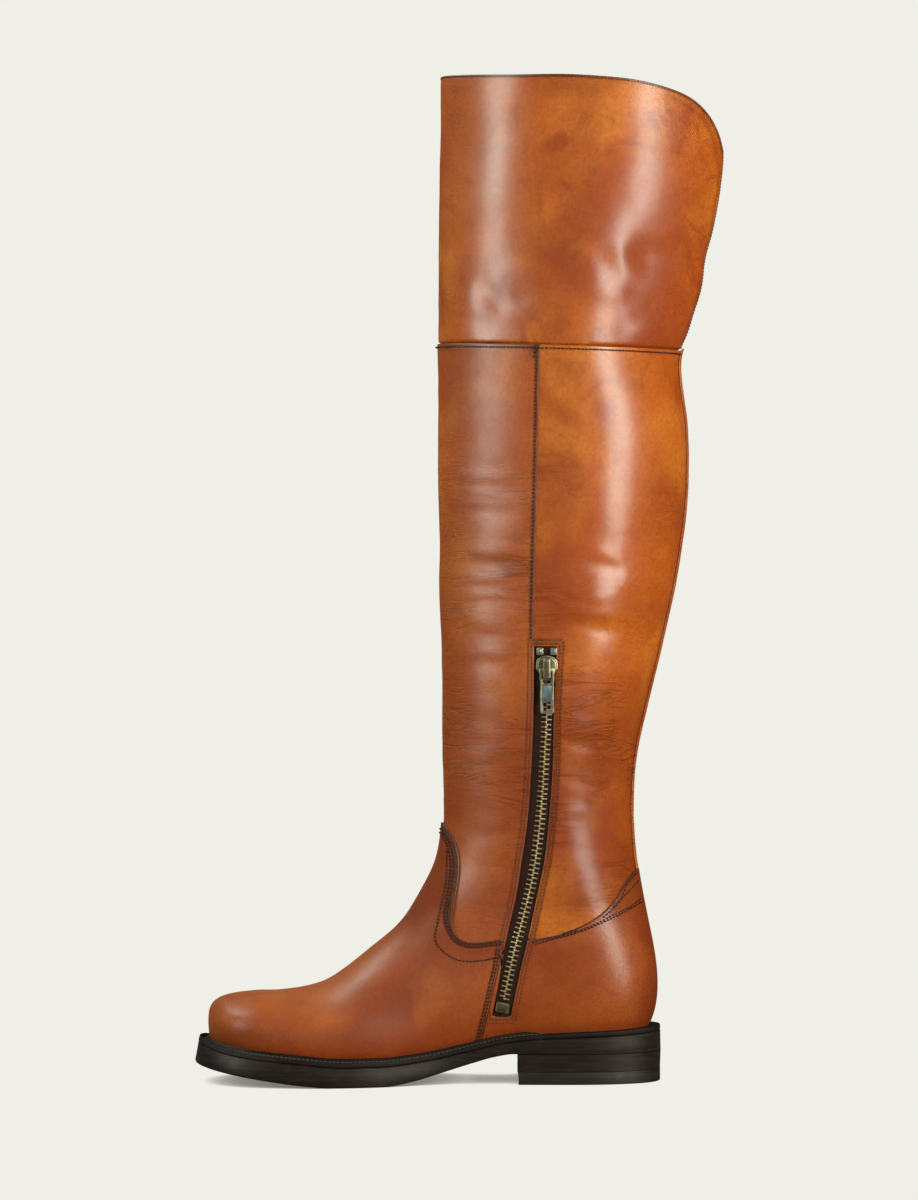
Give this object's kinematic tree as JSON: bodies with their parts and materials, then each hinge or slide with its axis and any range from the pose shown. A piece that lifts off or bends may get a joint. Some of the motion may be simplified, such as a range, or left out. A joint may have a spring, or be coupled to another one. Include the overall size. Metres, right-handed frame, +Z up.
{
  "type": "over-the-knee boot",
  "caption": "Tall over-the-knee leather riding boot, right foot, with a plain flared cuff split at the back, a zip on the inner ankle, a round toe, a welted sole and a low stacked heel.",
  "frame": {"origin": "on the floor under the middle of the boot's overall box", "axes": "+Z up the shaft, -X towards the toe, -Y towards the inner (medial) side with the zip"},
  "size_m": [0.3192, 0.113, 0.6071],
  "materials": {
    "upper": "glossy waxed cognac leather, the shaft and the hidden foot lining in one hollow wall",
    "cuff": "glossy waxed cognac leather, a little lighter than the shaft",
    "vamp": "burnished dark cognac leather",
    "counter": "burnished dark cognac leather",
    "back_strip": "cognac leather strip over the back seam",
    "zip_tape": "dark brown woven zip tape",
    "zip_chain": "antique brass zip teeth",
    "zip_top_stop_front": "small grey metal stop",
    "zip_top_stop_back": "small grey metal stop",
    "zip_bottom_stop": "small grey metal stop",
    "zip_slider": "antique brass slider with its bail",
    "zip_pull": "antique brass pull tab, left bare",
    "welt": "near-black welt with a raised rand and a row of stitches",
    "outsole": "near-black outsole with a semi-gloss side",
    "heel": "near-black stacked heel with a polished side",
    "top_lift": "dark brown-black rubber top lift",
    "insole": "natural tan leather"
  },
  "bodies": {
    "boot": {"upper": "upper", "cuff": "cuff", "vamp": "vamp", "counter": "counter", "back_strip": "back_strip", "zip_tape": "zip_tape", "zip_chain": "zip_chain", "zip_top_stop_front": "zip_top_stop_front", "zip_top_stop_back": "zip_top_stop_back", "zip_bottom_stop": "zip_bottom_stop", "zip_slider": "zip_slider", "welt": "welt", "outsole": "outsole", "heel": "heel", "top_lift": "top_lift", "insole": "insole"},
    "pull": {"zip_pull": "zip_pull"}
  },
  "joints": [
    {"name": "pull_swing", "type": "hinge", "parent": "boot", "child": "pull", "pos_m": [0.05246, -0.04712, 0.24932], "axis": [-1, 0.0067, -0.0035], "range_deg": [0, 160]}
  ]
}
